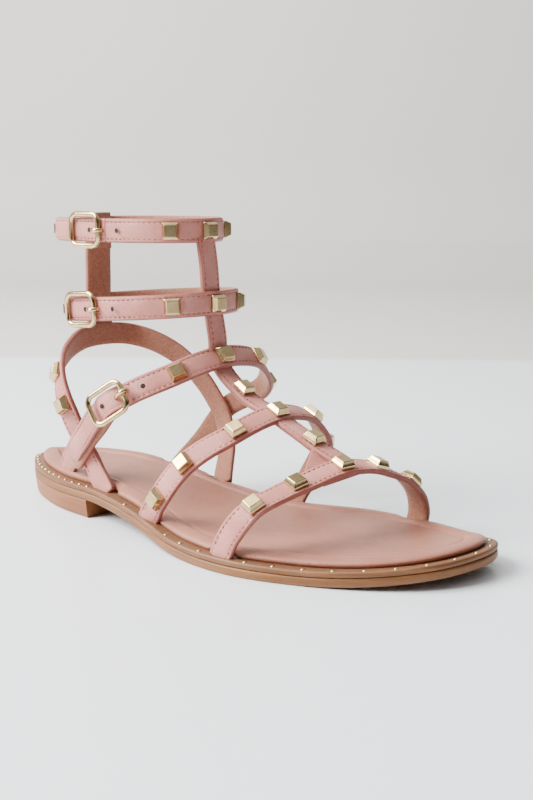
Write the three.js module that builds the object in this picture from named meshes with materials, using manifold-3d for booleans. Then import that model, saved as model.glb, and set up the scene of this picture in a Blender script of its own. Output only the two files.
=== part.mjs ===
// Studded strap sandal, right shoe, in millimetres with +Z up.
// X runs from the back of the heel to the toe, Y towards the big toe's side, Z up from the floor.
import * as THREE from 'three';
import { mergeVertices } from 'three/addons/utils/BufferGeometryUtils.js';
import Module from 'manifold-3d';

const wasm = await Module();
wasm.setup();

// Driving dimensions of the shoe
const length = 250;
const ballWidth = 94;
const instepHeight = 73;
const ankleHeight = 133;

// Sole
const seatHeight = 14.4;
const toeSpring = 4.9;
const outsoleThickness = 3.6;
const midsoleThickness = 2.2;
const heelLength = 72;
const heelTaper = 1.0;
const edgeRadius = 0.7;
const weltWidth = 4.6;

// Insole
const rimHeightToe = 3.0;
const rimHeightHeel = 3.6;
const rimWidth = 9.0;
const rimDip = 1.0;

// Straps
const strapWidth = 10.5;
const backWidth = 13;
const strapThickness = 2.4;
const strapChamfer = 0.5;
const lapShift = 0.85;
const tailShift = 1.0;
const sleeveThickness = 5.4;
const sleeveWidth = 11;
const gussetThickness = 1.9;
const strapStep = 5;

// Studs and buckles
const studSize = 7.3;
const studTop = 5.3;
const studHeight = 2.9;
const studRim = 0.8;
const studLift = 0.45;
const buckleLength = 20;
const buckleWidth = 15.6;
const buckleCorner = 3.8;
const buckleWire = 2.0;
const prongWire = 1.8;
const prongReach = 5.0;
const wireSides = 8;

// Gap kept between neighbouring pieces
const clearance = 0.3;

const COLOURS = {
  leather: { color: 0xd9a7a0, roughness: 0.5, metalness: 0 },
  insole: { color: 0xd6aaa2, roughness: 0.55, metalness: 0 },
  midsole: { color: 0xc39a78, roughness: 0.55, metalness: 0 },
  outsole: { color: 0xbe8f68, roughness: 0.6, metalness: 0 },
  heel: { color: 0xc08f66, roughness: 0.5, metalness: 0 },
  gold: { color: 0xcdb78a, roughness: 0.28, metalness: 1 },
};

// Half widths of the sole as shares of the ball width, at stations that are shares of the length
const OUTLINE = [
  { station: 0.0, lateral: 0.0, medial: 0.0 },
  { station: 0.03, lateral: 0.112, medial: 0.118 },
  { station: 0.1, lateral: 0.228, medial: 0.25 },
  { station: 0.2, lateral: 0.318, medial: 0.31 },
  { station: 0.32, lateral: 0.353, medial: 0.286 },
  { station: 0.45, lateral: 0.41, medial: 0.286 },
  { station: 0.58, lateral: 0.5, medial: 0.365 },
  { station: 0.7, lateral: 0.515, medial: 0.475 },
  { station: 0.82, lateral: 0.415, medial: 0.497 },
  { station: 0.92, lateral: 0.262, medial: 0.415 },
  { station: 0.98, lateral: 0.085, medial: 0.325 },
  { station: 1.0, lateral: -0.148, medial: 0.148 },
];

// Height of the midsole's top: 1 is the heel seat, 0 the forefoot, and toe the share of the toe spring
const DECK = [
  { station: 0.0, seat: 1.0, toe: 0.0 },
  { station: 0.29, seat: 1.0, toe: 0.0 },
  { station: 0.33, seat: 0.96, toe: 0.0 },
  { station: 0.38, seat: 0.82, toe: 0.0 },
  { station: 0.43, seat: 0.62, toe: 0.0 },
  { station: 0.48, seat: 0.38, toe: 0.0 },
  { station: 0.53, seat: 0.17, toe: 0.0 },
  { station: 0.58, seat: 0.05, toe: 0.0 },
  { station: 0.63, seat: 0.0, toe: 0.0 },
  { station: 0.8, seat: 0.0, toe: 0.0 },
  { station: 0.9, seat: 0.0, toe: 0.3 },
  { station: 1.0, seat: 0.0, toe: 1.0 },
];

const forefootHeight = outsoleThickness + clearance + midsoleThickness;

// Value of a table's column at a key, by a smooth curve through its rows
function readTable(rows, key, column, value) {
  const last = rows.length - 1;
  let i = 0;
  while (i < last - 1 && value > rows[i + 1][key]) i += 1;
  const slope = (k) => {
    const a = rows[Math.max(k - 1, 0)];
    const b = rows[Math.min(k + 1, last)];
    return (b[column] - a[column]) / (b[key] - a[key]);
  };
  const span = rows[i + 1][key] - rows[i][key];
  const u = (value - rows[i][key]) / span;
  const rise = rows[i + 1][column] - rows[i][column];
  const start = slope(i) * span;
  const end = slope(i + 1) * span;
  const u2 = u * u;
  const u3 = u2 * u;
  return rows[i][column] + start * u + (3 * rise - 2 * start - end) * u2 + (start + end - 2 * rise) * u3;
}

// The outline is read by an angle that is 0 at the heel and pi at the toe, so that both ends are round
const stationAngle = (station) => Math.acos(1 - 2 * station);
const OUTLINE_BY_ANGLE = OUTLINE.map((row) => ({ ...row, angle: stationAngle(row.station) }));

function outlinePoint(angle, side) {
  const half = readTable(OUTLINE_BY_ANGLE, 'angle', side, angle) * ballWidth;
  const x = (length * (1 - Math.cos(angle))) / 2;
  return new THREE.Vector2(x, side === 'lateral' ? -half : half);
}

const halfWidthAt = (x, side) => Math.abs(outlinePoint(stationAngle(x / length), side).y);

function deckHeight(x) {
  const station = THREE.MathUtils.clamp(x / length, 0, 1);
  const seat = Math.max(readTable(DECK, 'station', 'seat', station), 0);
  const toe = Math.max(readTable(DECK, 'station', 'toe', station), 0);
  return forefootHeight + seat * (seatHeight - forefootHeight) + toe * toeSpring;
}

// One closed loop of the sole's outline, moved inwards by inset, with its heights from a function of x
function soleLoop({ inset, height, lastAngle = Math.PI, count = 40 }) {
  const plan = [];
  for (let i = 0; i <= count; i += 1) plan.push(outlinePoint((lastAngle * i) / count, 'lateral'));
  for (let i = count; i > 0; i -= 1) plan.push(outlinePoint((lastAngle * i) / count, 'medial'));
  if (lastAngle === Math.PI) plan.splice(count, 1);
  return plan.map((point, i) => {
    const before = plan[(i + plan.length - 1) % plan.length];
    const after = plan[(i + 1) % plan.length];
    const along = after.clone().sub(before).normalize();
    const atBreast = lastAngle < Math.PI && (i === count || i === count + 1);
    const x = atBreast ? point.x : point.x - along.y * inset;
    const y = atBreast ? point.y - Math.sign(point.y) * inset : point.y + along.x * inset;
    return new THREE.Vector3(x, y, height(x));
  });
}

// A closed body through loops of equal count, capped at both ends unless the loops go round
function loft(loops, round = false) {
  const count = loops[0].length;
  const spans = round ? loops.length : loops.length - 1;
  const index = [];
  for (let k = 0; k < spans; k += 1) {
    const here = k * count;
    const next = ((k + 1) % loops.length) * count;
    for (let i = 0; i < count; i += 1) {
      const j = (i + 1) % count;
      index.push(here + i, here + j, next + j, here + i, next + j, next + i);
    }
  }
  const cap = (base, flip) => {
    const add = (a, b, c) => index.push(base + a, base + (flip ? c : b), base + (flip ? b : c));
    let left = 1;
    let right = count - 1;
    add(0, right, left);
    while (right - left > 1) {
      if (right - left > 2) add(left, right, right - 1);
      add(left, right - left > 2 ? right - 1 : right, left + 1);
      left += 1;
      right -= 1;
    }
  };
  if (!round) {
    cap(0, false);
    cap((loops.length - 1) * count, true);
  }
  const geometry = new THREE.BufferGeometry();
  const positions = loops.flat().flatMap((point) => point.toArray());
  geometry.setAttribute('position', new THREE.Float32BufferAttribute(positions, 3));
  geometry.setIndex(index);
  return geometry;
}

// Solids for joining and cutting
function toSolid(geometry) {
  const bare = geometry.clone();
  bare.deleteAttribute('normal');
  bare.deleteAttribute('uv');
  const merged = mergeVertices(bare, 1e-4);
  return new wasm.Manifold(
    new wasm.Mesh({
      numProp: 3,
      vertProperties: new Float32Array(merged.attributes.position.array),
      triVerts: new Uint32Array(merged.index.array),
    }),
  );
}

function toGeometry(solid) {
  const mesh = solid.getMesh();
  const geometry = new THREE.BufferGeometry();
  geometry.setAttribute('position', new THREE.BufferAttribute(new Float32Array(mesh.vertProperties), 3));
  geometry.setIndex(new THREE.BufferAttribute(new Uint32Array(mesh.triVerts), 1));
  geometry.computeVertexNormals();
  return geometry;
}

// Places on the last: along is a share of the length, side of half the ball width, and
// up is 0 at the floor, 1 at the instep and 2 at the top edge of the ankle strap
const heightOf = (up) =>
  up < 1 ? up * instepHeight : instepHeight + (up - 1) * (ankleHeight - instepHeight);

function lastPoint({ along, side, up }) {
  return new THREE.Vector3(along * length, (side * ballWidth) / 2, heightOf(up));
}

// Foot of a strap: it stands on the midsole against the insole's edge, or inboard in a slot of the insole
function strapFoot({ along, foot, inboard = 0, lean = 0, above = -1.5 }) {
  const x = along * length;
  const edge = halfWidthAt(x, foot) - weltWidth + clearance + strapThickness / 2 - inboard;
  const y = foot === 'lateral' ? -edge : edge;
  return { point: new THREE.Vector3(x, y, deckHeight(x) + above), lean };
}

const strapRow = (row) => (row.foot ? strapFoot(row) : { point: lastPoint(row), lean: row.lean ?? 0 });

// A route holds a curve down the middle of a strap and the slope of the last under it
function makeRoute(rows, { closed = false, across = null, inward = 0 } = {}) {
  const spots = rows.map(strapRow);
  const curve = new THREE.CatmullRomCurve3(spots.map((spot) => spot.point), closed, 'centripetal');
  const spans = closed ? spots.length : spots.length - 1;
  const frameAt = (t) => {
    const middle = curve.getPoint(t);
    const tangent = curve.getTangent(t);
    const row = Math.min(Math.floor(t * spans), spans - 1);
    const next = spots[(row + 1) % spots.length];
    const lean = THREE.MathUtils.degToRad(THREE.MathUtils.lerp(spots[row].lean, next.lean, t * spans - row));
    const slope = across ?? new THREE.Vector3(Math.cos(lean), 0, -Math.sin(lean));
    const out = slope.clone().cross(tangent).normalize();
    const wide = tangent.clone().cross(out);
    middle.addScaledVector(out, -inward);
    return { middle, tangent, out, wide };
  };
  return { curve, frameAt, closed };
}

// A flat strap with bevelled edges, swept along a route
function bandGeometry(route, { width = strapWidth, thickness = strapThickness } = {}) {
  const steps = Math.ceil(route.curve.getLength() / strapStep);
  const stations = route.closed ? steps : steps + 1;
  const half = width / 2;
  const deep = thickness / 2;
  const loops = [];
  for (let i = 0; i < stations; i += 1) {
    const { middle, out, wide } = route.frameAt(i / steps);
    const section = [
      [-half, -deep + strapChamfer],
      [-half, deep - strapChamfer],
      [-half + strapChamfer, deep],
      [half - strapChamfer, deep],
      [half, deep - strapChamfer],
      [half, -deep + strapChamfer],
      [half - strapChamfer, -deep],
      [-half + strapChamfer, -deep],
    ];
    loops.push(section.map(([w, d]) => middle.clone().addScaledVector(wide, w).addScaledVector(out, d)));
  }
  return loft(loops, route.closed);
}

// Strap routes, each row a place on the last with the slope of the last's surface in degrees
const TOE_STRAP = [
  { along: 0.672, foot: 'lateral', lean: 0 },
  { along: 0.69, side: -0.985, up: 0.19, lean: 5 },
  { along: 0.722, side: -0.9, up: 0.345, lean: 10 },
  { along: 0.744, side: -0.45, up: 0.437, lean: 14 },
  { along: 0.766, side: 0.02, up: 0.497, lean: 17 },
  { along: 0.777, side: 0.48, up: 0.44, lean: 17 },
  { along: 0.788, side: 0.84, up: 0.315, lean: 12 },
  { along: 0.79, side: 0.97, up: 0.18, lean: 5 },
  { along: 0.788, foot: 'medial', inboard: -0.8, lean: 0 },
];

const MID_STRAP = [
  { along: 0.469, foot: 'lateral', lean: 10 },
  { along: 0.503, side: -0.84, up: 0.255, lean: 15 },
  { along: 0.549, side: -0.715, up: 0.485, lean: 20 },
  { along: 0.596, side: -0.38, up: 0.645, lean: 23 },
  { along: 0.613, side: 0.09, up: 0.723, lean: 25 },
  { along: 0.608, side: 0.58, up: 0.66, lean: 24 },
  { along: 0.595, side: 0.87, up: 0.46, lean: 20 },
  { along: 0.575, side: 0.79, up: 0.26, lean: 10 },
  { along: 0.56, foot: 'medial', lean: 5 },
];

const INSTEP_STRAP = [
  { along: 0.165, foot: 'lateral', inboard: 6.5, lean: 40 },
  { along: 0.281, side: -0.67, up: 0.49, lean: 45 },
  { along: 0.365, side: -0.72, up: 0.74, lean: 50 },
  { along: 0.449, side: -0.33, up: 0.92, lean: 52 },
  { along: 0.478, side: 0.13, up: 1.0, lean: 52 },
  { along: 0.468, side: 0.66, up: 0.945, lean: 52 },
  { along: 0.425, side: 1.02, up: 0.742, lean: 50 },
  { along: 0.336, side: 0.957, up: 0.56, lean: 45 },
  { along: 0.31, side: 0.8, up: 0.37, lean: 42 },
  { along: 0.292, foot: 'medial', inboard: 1, lean: 40 },
];

// Past its buckle the free end of the instep strap goes down inside the part that comes up from the sole
const INSTEP_TAIL = [
  { along: 0.376, side: -0.69, up: 0.765, lean: 50 },
  { along: 0.334, side: -0.66, up: 0.63, lean: 48 },
  { along: 0.286, side: -0.615, up: 0.49, lean: 46 },
  { along: 0.237, side: -0.565, up: 0.31, lean: 44 },
];

const HEEL_SLING = [
  { along: 0.335, foot: 'lateral', lean: -10 },
  { along: 0.26, side: -0.575, up: 0.42, lean: -30 },
  { along: 0.224, side: -0.645, up: 0.685, lean: -50 },
  { along: 0.188, side: -0.55, up: 0.845, lean: -65 },
  { along: 0.165, side: -0.35, up: 0.975, lean: -78 },
  { along: 0.15, side: -0.08, up: 1.045, lean: -88 },
  { along: 0.148, side: 0.28, up: 1.06, lean: -90 },
  { along: 0.158, side: 0.58, up: 1.035, lean: -80 },
  { along: 0.208, side: 0.76, up: 0.965, lean: -65 },
  { along: 0.262, side: 0.87, up: 0.84, lean: -50 },
  { along: 0.331, side: 0.945, up: 0.565, lean: -35 },
  { along: 0.37, side: 0.83, up: 0.385, lean: -25 },
  { along: 0.418, foot: 'medial', lean: -10 },
];

const INSTEP_TIE = [
  { along: 0.768, side: 0.12, up: 0.48 },
  { along: 0.73, side: 0.125, up: 0.535 },
  { along: 0.69, side: 0.115, up: 0.588 },
  { along: 0.613, side: 0.1, up: 0.707 },
  { along: 0.532, side: 0.13, up: 0.81 },
  { along: 0.475, side: 0.13, up: 0.975 },
  { along: 0.47, side: 0.13, up: 1.16 },
  { along: 0.46, side: 0.12, up: 1.395 },
  { along: 0.448, side: 0.14, up: 1.66 },
  { along: 0.434, side: 0.16, up: 1.97 },
];

// Gusset where the instep tie is sewn under the toe strap, by its lateral and medial edges
const GUSSET = [
  { along: 0.7, lateral: { side: 0.03, up: 0.573 }, medial: { side: 0.21, up: 0.571 } },
  { along: 0.731, lateral: { side: -0.306, up: 0.462 }, medial: { side: 0.265, up: 0.52 } },
  { along: 0.768, lateral: { side: -0.31, up: 0.437 }, medial: { side: 0.28, up: 0.45 } },
];

const BACK_TIE = [
  { along: 0.148, side: 0.18, up: 1.0 },
  { along: 0.145, side: 0.185, up: 1.3 },
  { along: 0.146, side: 0.185, up: 1.65 },
  { along: 0.146, side: 0.185, up: 1.97 },
];

// The back tie is folded over the upper ankle strap as a sleeve
const BACK_SLEEVE = [
  { along: 0.1495, side: 0.185, up: 1.74 },
  { along: 0.1495, side: 0.185, up: 2.02 },
];

// Ankle straps: level ovals that tilt a little from back to front, and where their free ends start and stop
const ANKLE_STRAPS = [
  {
    name: 'lower',
    back: 0.142,
    front: 0.469,
    lateral: -0.57,
    medial: 0.85,
    upBack: 1.3,
    upFront: 1.395,
    tailFrom: 0.31,
    tailTo: 0.222,
  },
  {
    name: 'upper',
    back: 0.149,
    front: 0.441,
    lateral: -0.39,
    medial: 0.73,
    upBack: 1.905,
    upFront: 1.91,
    tailFrom: 0.3,
    tailTo: 0.16,
  },
];

function ankleRows({ back, front, lateral, medial, upBack, upFront }) {
  const rows = [];
  const count = 16;
  for (let i = 0; i < count; i += 1) {
    const turn = (2 * Math.PI * i) / count;
    const forward = (1 + Math.cos(turn)) / 2;
    rows.push({
      along: back + (front - back) * forward,
      side: (lateral + medial) / 2 - ((medial - lateral) / 2) * Math.sin(turn),
      up: upBack + (upFront - upBack) * forward,
      lean: -90,
    });
  }
  return rows;
}

const backTurn = THREE.MathUtils.degToRad(11);
const backAcross = new THREE.Vector3(-Math.sin(backTurn), -Math.cos(backTurn), 0);

// The free end of an ankle strap runs straight back from the widest place of its lateral side
function tailRows({ tailFrom, tailTo, lateral, upBack, upFront, back, front }) {
  return [tailFrom, tailTo].map((along) => ({
    along,
    side: lateral,
    up: upBack + ((upFront - upBack) * (along - back)) / (front - back),
    lean: -90,
  }));
}

const routes = {
  toe: makeRoute(TOE_STRAP),
  mid: makeRoute(MID_STRAP),
  instep: makeRoute(INSTEP_STRAP, { inward: -lapShift }),
  instepTail: makeRoute(INSTEP_TAIL, { inward: tailShift }),
  sling: makeRoute(HEEL_SLING, { inward: strapThickness / 2 }),
  tie: makeRoute(INSTEP_TIE, { across: new THREE.Vector3(0, 1, 0) }),
  back: makeRoute(BACK_TIE, { across: backAcross }),
  sleeve: makeRoute(BACK_SLEEVE, { across: backAcross }),
};
for (const ring of ANKLE_STRAPS) {
  routes[ring.name] = makeRoute(ankleRows(ring), { closed: true });
  routes[`${ring.name}Tail`] = makeRoute(tailRows(ring));
}

// Sole pieces, from the floor up
function outsole() {
  const under = (x) => deckHeight(x) - forefootHeight;
  const top = (x) => under(x) + outsoleThickness;
  return loft([
    soleLoop({ inset: edgeRadius, height: under }),
    soleLoop({ inset: 0, height: (x) => under(x) + edgeRadius }),
    soleLoop({ inset: 0, height: (x) => top(x) - edgeRadius / 2 }),
    soleLoop({ inset: edgeRadius / 2, height: top }),
  ]);
}

function heel() {
  const top = seatHeight - forefootHeight - clearance;
  const lastAngle = stationAngle(heelLength / length);
  const shape = { lastAngle, count: 20 };
  return loft([
    soleLoop({ ...shape, inset: heelTaper + edgeRadius, height: () => 0 }),
    soleLoop({ ...shape, inset: heelTaper, height: () => edgeRadius }),
    soleLoop({ ...shape, inset: edgeRadius / 2, height: () => top }),
  ]);
}

function midsole() {
  const under = (x) => deckHeight(x) - midsoleThickness;
  return loft([
    soleLoop({ inset: edgeRadius / 2, height: under }),
    soleLoop({ inset: 0, height: (x) => under(x) + edgeRadius / 2 }),
    soleLoop({ inset: 0, height: (x) => deckHeight(x) - edgeRadius / 2 }),
    soleLoop({ inset: edgeRadius / 2, height: deckHeight }),
  ]);
}

// Padded insole: a rounded rim around a pressed middle, slotted where straps pass through it
function insole() {
  const seat = (x) => readTable(DECK, 'station', 'seat', x / length);
  const rim = (x) => rimHeightToe + (rimHeightHeel - rimHeightToe) * seat(x);
  const level = (share) => (x) => deckHeight(x) + clearance + share * rim(x);
  const body = loft([
    soleLoop({ inset: weltWidth + 0.5, height: level(0) }),
    soleLoop({ inset: weltWidth, height: level(0.35) }),
    soleLoop({ inset: weltWidth + 0.5, height: level(0.75) }),
    soleLoop({ inset: weltWidth + 2, height: level(1) }),
    soleLoop({ inset: weltWidth + rimWidth * 0.6, height: level(0.98) }),
    soleLoop({ inset: weltWidth + rimWidth, height: (x) => level(1)(x) - rimDip }),
  ]);
  let solid = toSolid(body);
  for (const name of ['toe', 'mid', 'instep', 'sling']) {
    const slot = bandGeometry(routes[name], {
      width: strapWidth + 2 * clearance,
      thickness: strapThickness + 2 * clearance,
    });
    solid = solid.subtract(toSolid(slot));
  }
  return toGeometry(solid);
}

function gusset() {
  const loops = GUSSET.map(({ along, lateral, medial }) => {
    const left = lastPoint({ along, ...lateral });
    const right = lastPoint({ along, ...medial });
    const raised = (point, by) => point.clone().setZ(point.z + by * gussetThickness);
    return [raised(right, -0.5), raised(right, 0.5), raised(left, 0.5), raised(left, -0.5)];
  });
  return loft(loops);
}

// The upper: every strap joined where they cross, and trimmed to stand on the midsole
function upper() {
  const bands = [
    gusset(),
    bandGeometry(routes.back, { width: backWidth }),
    bandGeometry(routes.sleeve, { width: sleeveWidth, thickness: sleeveThickness }),
  ];
  const crossed = ['toe', 'mid', 'instep', 'instepTail', 'sling', 'tie'];
  const ankle = ['lower', 'lowerTail', 'upper', 'upperTail'];
  for (const name of [...crossed, ...ankle]) bands.push(bandGeometry(routes[name]));
  const solid = wasm.Manifold.union(bands.map(toSolid));
  const floor = loft([
    soleLoop({ inset: -6, height: () => -20 }),
    soleLoop({ inset: -6, height: (x) => deckHeight(x) + clearance }),
  ]);
  return toGeometry(solid.subtract(toSolid(floor)));
}

// Studs sit on the straps at these shares of each route, lateral end first
const STUDS = [
  { strap: 'toe', spots: [0.265, 0.373, 0.496, 0.606, 0.74] },
  { strap: 'mid', spots: [0.139, 0.248, 0.382, 0.5, 0.632, 0.745] },
  { strap: 'instep', spots: [0.34, 0.446, 0.55, 0.656] },
  { strap: 'sling', spots: [0.164, 0.258, 0.58, 0.71] },
  { strap: 'tie', spots: [0.226, 0.449] },
  { strap: 'lower', spots: [0.1, 0.007, 0.915, 0.825, 0.72, 0.63] },
  { strap: 'upper', spots: [0.1, 0.004, 0.897, 0.751, 0.655] },
];

// Seats a piece on a strap's outer face, with its Z pointing out of the strap and its X along it
function seatOn(mesh, route, spot, lift) {
  const { middle, tangent, out } = route.frameAt(spot);
  const across = out.clone().cross(tangent).normalize();
  const along = across.clone().cross(out);
  mesh.quaternion.setFromRotationMatrix(new THREE.Matrix4().makeBasis(along, across, out));
  mesh.position.copy(middle).addScaledVector(out, strapThickness / 2 + lift);
}

// Pyramid stud with a square rim and a flat top
function stud() {
  const corner = Math.SQRT1_2;
  const profile = [
    new THREE.Vector2(0, 0),
    new THREE.Vector2(studSize * corner, 0),
    new THREE.Vector2(studSize * corner, studRim),
    new THREE.Vector2(studTop * corner, studHeight),
    new THREE.Vector2(0, studHeight),
  ];
  return new THREE.LatheGeometry(profile, 4, Math.PI / 4).rotateX(Math.PI / 2);
}

// Round wire along points that lie in a plane with the given normal
function wire(points, normal, diameter, round) {
  const last = points.length - 1;
  const loops = points.map((point, i) => {
    const before = points[i > 0 ? i - 1 : round ? last : 0];
    const after = points[i < last ? i + 1 : round ? 0 : last];
    const side = after.clone().sub(before).normalize().cross(normal);
    const loop = [];
    for (let j = 0; j < wireSides; j += 1) {
      const turn = (-2 * Math.PI * (j + 0.5)) / wireSides;
      const offset = side.clone().multiplyScalar(Math.cos(turn)).addScaledVector(normal, Math.sin(turn));
      loop.push(point.clone().addScaledVector(offset, diameter / 2));
    }
    return loop;
  });
  return loft(loops, round);
}

// Buckle frame: a rounded rectangle of wire lying on the strap
const barReach = (buckleLength - buckleWire) / 2;
function buckleFrame() {
  const x = barReach - buckleCorner;
  const y = (buckleWidth - buckleWire) / 2 - buckleCorner;
  const turns = 4;
  const points = [];
  for (let corner = 0; corner < 4; corner += 1) {
    const forward = corner === 0 || corner === 3 ? x : -x;
    const across = corner < 2 ? y : -y;
    for (let k = 0; k <= turns; k += 1) {
      const turn = (Math.PI / 2) * (corner + k / turns);
      const reach = new THREE.Vector3(Math.cos(turn), Math.sin(turn), 0).multiplyScalar(buckleCorner);
      points.push(reach.add(new THREE.Vector3(forward, across, buckleWire / 2)));
    }
  }
  return wire(points, new THREE.Vector3(0, 0, 1), buckleWire, true);
}

// Prong: hooked over the frame's front bar, with its tip down on the strap
function prong(forward) {
  const bar = new THREE.Vector3(forward * barReach, 0, buckleWire / 2);
  const hook = (buckleWire + prongWire) / 2 + clearance;
  const turns = 6;
  const points = [];
  for (let k = 0; k <= turns; k += 1) {
    const turn = (Math.PI * 0.6 * k) / turns;
    const reach = new THREE.Vector3(forward * Math.cos(turn), 0, Math.sin(turn));
    points.push(reach.multiplyScalar(hook).add(bar));
  }
  points.push(new THREE.Vector3(forward * (barReach - prongReach), 0, prongWire / 2));
  return wire(points, new THREE.Vector3(0, forward, 0), prongWire, false);
}

const sandal = new THREE.Group();

function addPiece(name, geometry, look) {
  const mesh = new THREE.Mesh(geometry, new THREE.MeshStandardMaterial(COLOURS[look]));
  mesh.name = name;
  sandal.add(mesh);
  return mesh;
}

addPiece('outsole', outsole(), 'outsole');
addPiece('heel', heel(), 'heel');
addPiece('midsole', midsole(), 'midsole');
addPiece('insole', insole(), 'insole');
addPiece('upper', upper(), 'leather');

for (const { strap, spots } of STUDS) {
  spots.forEach((spot, i) => {
    const mesh = addPiece(`stud_${strap}_${i + 1}`, stud(), 'gold');
    seatOn(mesh, routes[strap], spot, studLift);
  });
}

// Buckles: forward is the sign of the route's direction towards the bar that holds the prong
const BUCKLES = [
  { name: 'upper', strap: 'upperTail', spot: 0.36, forward: -1 },
  { name: 'lower', strap: 'lowerTail', spot: 0.41, forward: -1 },
  { name: 'instep', strap: 'instep', spot: 0.228, forward: 1 },
];
for (const { name, strap, spot, forward } of BUCKLES) {
  const pieces = { frame: buckleFrame(), prong: prong(forward) };
  for (const [part, geometry] of Object.entries(pieces)) {
    seatOn(addPiece(`buckle_${name}_${part}`, geometry, 'gold'), routes[strap], spot, clearance);
  }
}

// The origin is under the middle of the shoe's box, on the floor
const box = new THREE.Box3().setFromObject(sandal, true);
const middle = box.getCenter(new THREE.Vector3());
for (const mesh of sandal.children) {
  mesh.position.x -= middle.x;
  mesh.position.y -= middle.y;
  mesh.position.z -= box.min.z;
}

export default sandal;
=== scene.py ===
# Studded strap sandal, right shoe: straps, padded insole, sole layers, studs and buckles over the frame.
# Shapes are worked out in millimetres in the tables' frame, and turned into the row frame in metres.
import math

import bmesh
import bpy
import numpy as np
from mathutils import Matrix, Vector


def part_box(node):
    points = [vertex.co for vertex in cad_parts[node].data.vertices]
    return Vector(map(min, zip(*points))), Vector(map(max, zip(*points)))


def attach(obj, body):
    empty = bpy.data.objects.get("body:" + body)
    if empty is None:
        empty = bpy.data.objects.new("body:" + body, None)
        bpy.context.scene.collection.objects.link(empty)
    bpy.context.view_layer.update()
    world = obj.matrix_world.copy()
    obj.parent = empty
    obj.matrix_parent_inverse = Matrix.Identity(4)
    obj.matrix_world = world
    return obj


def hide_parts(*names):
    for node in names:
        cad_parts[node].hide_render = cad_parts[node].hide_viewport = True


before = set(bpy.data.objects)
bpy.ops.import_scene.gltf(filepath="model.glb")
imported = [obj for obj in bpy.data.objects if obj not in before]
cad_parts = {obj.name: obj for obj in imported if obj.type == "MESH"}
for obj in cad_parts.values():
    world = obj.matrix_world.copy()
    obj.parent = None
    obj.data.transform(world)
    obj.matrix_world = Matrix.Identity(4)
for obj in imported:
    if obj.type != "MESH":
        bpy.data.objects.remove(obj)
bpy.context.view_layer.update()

MM = 0.001

# Sizes and tables, the same as in the CAD source
LENGTH = 250.0
BALL_WIDTH = 94.0
INSTEP_HEIGHT = 73.0
ANKLE_HEIGHT = 133.0
SEAT_HEIGHT = 14.4
TOE_SPRING = 4.9
OUTSOLE_THICKNESS = 3.6
MIDSOLE_THICKNESS = 2.2
HEEL_LENGTH = 72.0
HEEL_TAPER = 1.0
WELT_WIDTH = 4.6
RIM_HEIGHT_TOE = 3.0
RIM_HEIGHT_HEEL = 3.6
STRAP_WIDTH = 10.5
BACK_WIDTH = 13.0
SLEEVE_WIDTH = 11.0
SLEEVE_THICKNESS = 5.4
STRAP_THICKNESS = 2.4
LAP_SHIFT = 0.85
TAIL_SHIFT = 1.0
GUSSET_THICKNESS = 1.9
STUD_SIZE = 7.3
STUD_TOP = 5.3
STUD_HEIGHT = 2.9
STUD_RIM = 0.8
STUD_LIFT = 0.45
BUCKLE_LENGTH = 20.0
BUCKLE_WIDTH = 15.6
BUCKLE_CORNER = 3.8
BUCKLE_WIRE = 2.0
PRONG_WIRE = 1.8
PRONG_REACH = 5.0
CLEARANCE = 0.3
FOREFOOT_HEIGHT = OUTSOLE_THICKNESS + CLEARANCE + MIDSOLE_THICKNESS

# Station, lateral and medial half width as shares of the ball width
OUTLINE = [
    (0.0, 0.0, 0.0),
    (0.03, 0.112, 0.118),
    (0.1, 0.228, 0.25),
    (0.2, 0.318, 0.31),
    (0.32, 0.353, 0.286),
    (0.45, 0.41, 0.286),
    (0.58, 0.5, 0.365),
    (0.7, 0.515, 0.475),
    (0.82, 0.415, 0.497),
    (0.92, 0.262, 0.415),
    (0.98, 0.085, 0.325),
    (1.0, -0.148, 0.148),
]

# Station, heel seat share and toe spring share
DECK = [
    (0.0, 1.0, 0.0),
    (0.29, 1.0, 0.0),
    (0.33, 0.96, 0.0),
    (0.38, 0.82, 0.0),
    (0.43, 0.62, 0.0),
    (0.48, 0.38, 0.0),
    (0.53, 0.17, 0.0),
    (0.58, 0.05, 0.0),
    (0.63, 0.0, 0.0),
    (0.8, 0.0, 0.0),
    (0.9, 0.0, 0.3),
    (1.0, 0.0, 1.0),
]


CURVE_POINTS = 600


def smooth_curve(keys, values):
    """A smooth curve through a table's rows, as a function that takes arrays."""
    keys = np.asarray(keys, float)
    values = np.asarray(values, float)
    last = len(keys) - 1
    slopes = np.empty(len(keys))
    for k in range(len(keys)):
        a = max(k - 1, 0)
        b = min(k + 1, last)
        slopes[k] = (values[b] - values[a]) / (keys[b] - keys[a])
    at = np.linspace(keys[0], keys[-1], CURVE_POINTS)
    row = np.clip(np.searchsorted(keys, at, side="right") - 1, 0, last - 1)
    span = keys[row + 1] - keys[row]
    u = (at - keys[row]) / span
    rise = values[row + 1] - values[row]
    start = slopes[row] * span
    end = slopes[row + 1] * span
    curve = values[row] + start * u + (3 * rise - 2 * start - end) * u**2 + (start + end - 2 * rise) * u**3
    return lambda value: np.interp(value, at, curve)


def station_angle(station):
    return np.arccos(1 - 2 * np.asarray(station, float))


outline_angles = station_angle([row[0] for row in OUTLINE])
lateral_half = smooth_curve(outline_angles, [row[1] for row in OUTLINE])
medial_half = smooth_curve(outline_angles, [row[2] for row in OUTLINE])
seat_share = smooth_curve([row[0] for row in DECK], [row[1] for row in DECK])
toe_share = smooth_curve([row[0] for row in DECK], [row[2] for row in DECK])


def deck_height(x):
    station = np.clip(np.asarray(x, float) / LENGTH, 0, 1)
    seat = np.maximum(seat_share(station), 0)
    toe = np.maximum(toe_share(station), 0)
    return FOREFOOT_HEIGHT + seat * (SEAT_HEIGHT - FOREFOOT_HEIGHT) + toe * TOE_SPRING


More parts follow.
